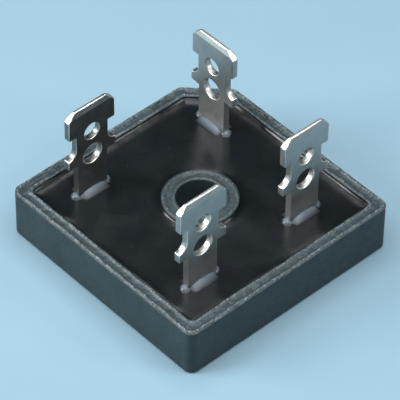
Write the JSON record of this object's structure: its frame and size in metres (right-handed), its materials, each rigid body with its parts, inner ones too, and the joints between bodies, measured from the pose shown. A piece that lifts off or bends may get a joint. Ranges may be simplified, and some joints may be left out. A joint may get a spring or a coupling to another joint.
{
  "type": "bridge rectifier",
  "caption": "Low square black case with a mounting hole in its middle and flat metal tabs standing up near its corners, one tab turned a quarter turn beside a bevelled corner.",
  "frame": {"origin": "centre of the mounting hole on the mounting face of the base plate", "axes": "+Z out of the mounting face along the hole towards the tabs; X and Y along the case's sides; +X +Y towards the bevelled corner with the positive tab"},
  "size_m": [0.0286, 0.0286, 0.0179],
  "materials": {
    "case": "moulded black thermoset, satin sides, rough flashed rim",
    "base_plate": "plain rolled metal, fine brushed",
    "potting": "glossy black epoxy with dust and light scratches",
    "terminal": "satin nickel plate on copper",
    "insulator": "white alumina",
    "die": "grey silicon",
    "solder": "dull solder"
  },
  "bodies": {
    "root": {"case": "case", "base_plate": "base_plate", "potting_compound": "potting", "negative_terminal": "terminal", "ac_terminal_right": "terminal", "positive_terminal": "terminal", "ac_terminal_left": "terminal", "insulator_negative": "insulator", "insulator_right": "insulator", "insulator_positive": "insulator", "insulator_left": "insulator", "diode_die_negative": "die", "diode_die_right": "die", "diode_die_positive": "die", "diode_die_left": "die", "lower_solder_negative": "solder", "lower_solder_right": "solder", "lower_solder_positive": "solder", "lower_solder_left": "solder", "upper_solder_negative": "solder", "upper_solder_right": "solder", "upper_solder_positive": "solder", "upper_solder_left": "solder"}
  },
  "joints": []
}
